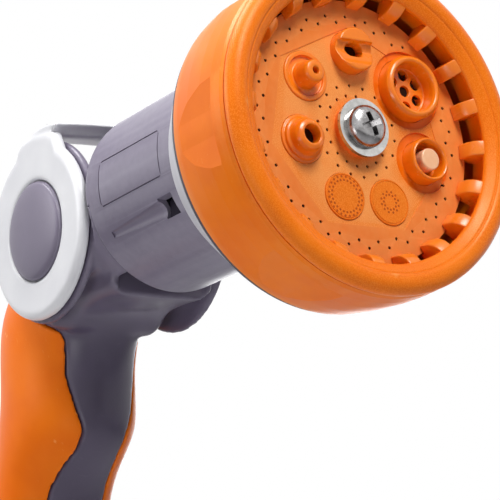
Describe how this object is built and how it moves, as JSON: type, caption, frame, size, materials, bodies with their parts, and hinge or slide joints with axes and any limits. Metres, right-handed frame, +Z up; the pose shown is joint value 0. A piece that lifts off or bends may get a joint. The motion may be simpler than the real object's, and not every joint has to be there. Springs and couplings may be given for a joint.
{
  "type": "hose spray nozzle",
  "caption": "Hand-held garden hose nozzle with a turning multi-pattern spray turret, a thumb lever valve and a pistol grip.",
  "frame": {"origin": "middle of the inlet plug's collar land, on its axis", "axes": "+X the way the water leaves the turret, +Y the object's left, +Z up; the inlet points down and back"},
  "size_m": [0.1775, 0.0726, 0.157],
  "materials": {
    "orange": "satin",
    "orange_grain": "matte",
    "mauve_plastic": "satin",
    "pale_plastic": "satin",
    "dark_plastic": "matte",
    "pin_plastic": "gloss",
    "steel": "polished",
    "seal_rubber": "matte"
  },
  "bodies": {
    "body": {"turret_washer": "steel", "turret_screw": "steel", "barrel": "mauve_plastic", "collar": "pale_plastic", "spindle": "dark_plastic", "outlet_seal": "seal_rubber", "outlet_tube": "dark_plastic", "selector_seal": "seal_rubber", "detent_spring": "steel", "housing": "mauve_plastic", "grip_right": "orange", "grip_left": "orange", "end_cap": "mauve_plastic", "inlet_seal": "seal_rubber", "handle_tube": "dark_plastic", "inlet_plug": "dark_plastic", "inlet_oring": "seal_rubber", "inlet_filter": "steel"},
    "turret": {"bezel": "orange_grain", "grip_ring": "orange", "face_plate": "orange_grain", "fan_nozzle": "orange", "mist_nozzle": "orange", "jet_nozzle": "orange", "soaker_cup": "orange", "cone_cup": "orange", "cone_pin": "pin_plastic", "centre_mark": "orange_grain", "ring_mark": "orange_grain", "turret_core": "dark_plastic", "backplate": "dark_plastic"},
    "lever": {"thumb_lever": "pale_plastic", "lever_cap_right": "mauve_plastic", "lever_cap_left": "mauve_plastic", "lever_screws": "steel", "valve_spool": "dark_plastic", "spool_orings": "seal_rubber"},
    "detent": {"detent_ball": "steel"}
  },
  "joints": [
    {"name": "turret_turn", "type": "hinge", "parent": "body", "child": "turret", "pos_m": [0.1595, 0, 0.10181], "axis": [1, 0, 0], "continuous": true},
    {"name": "lever_swing", "type": "hinge", "parent": "body", "child": "lever", "pos_m": [0.0608, 0, 0.10531], "axis": [0, 1, 0], "range_deg": [-45, 0]},
    {"name": "detent_push", "type": "slide", "parent": "body", "child": "detent", "axis": [1, 0, 0], "range_m": [0, 0.0005], "stiffness_N_per_m": 200}
  ]
}
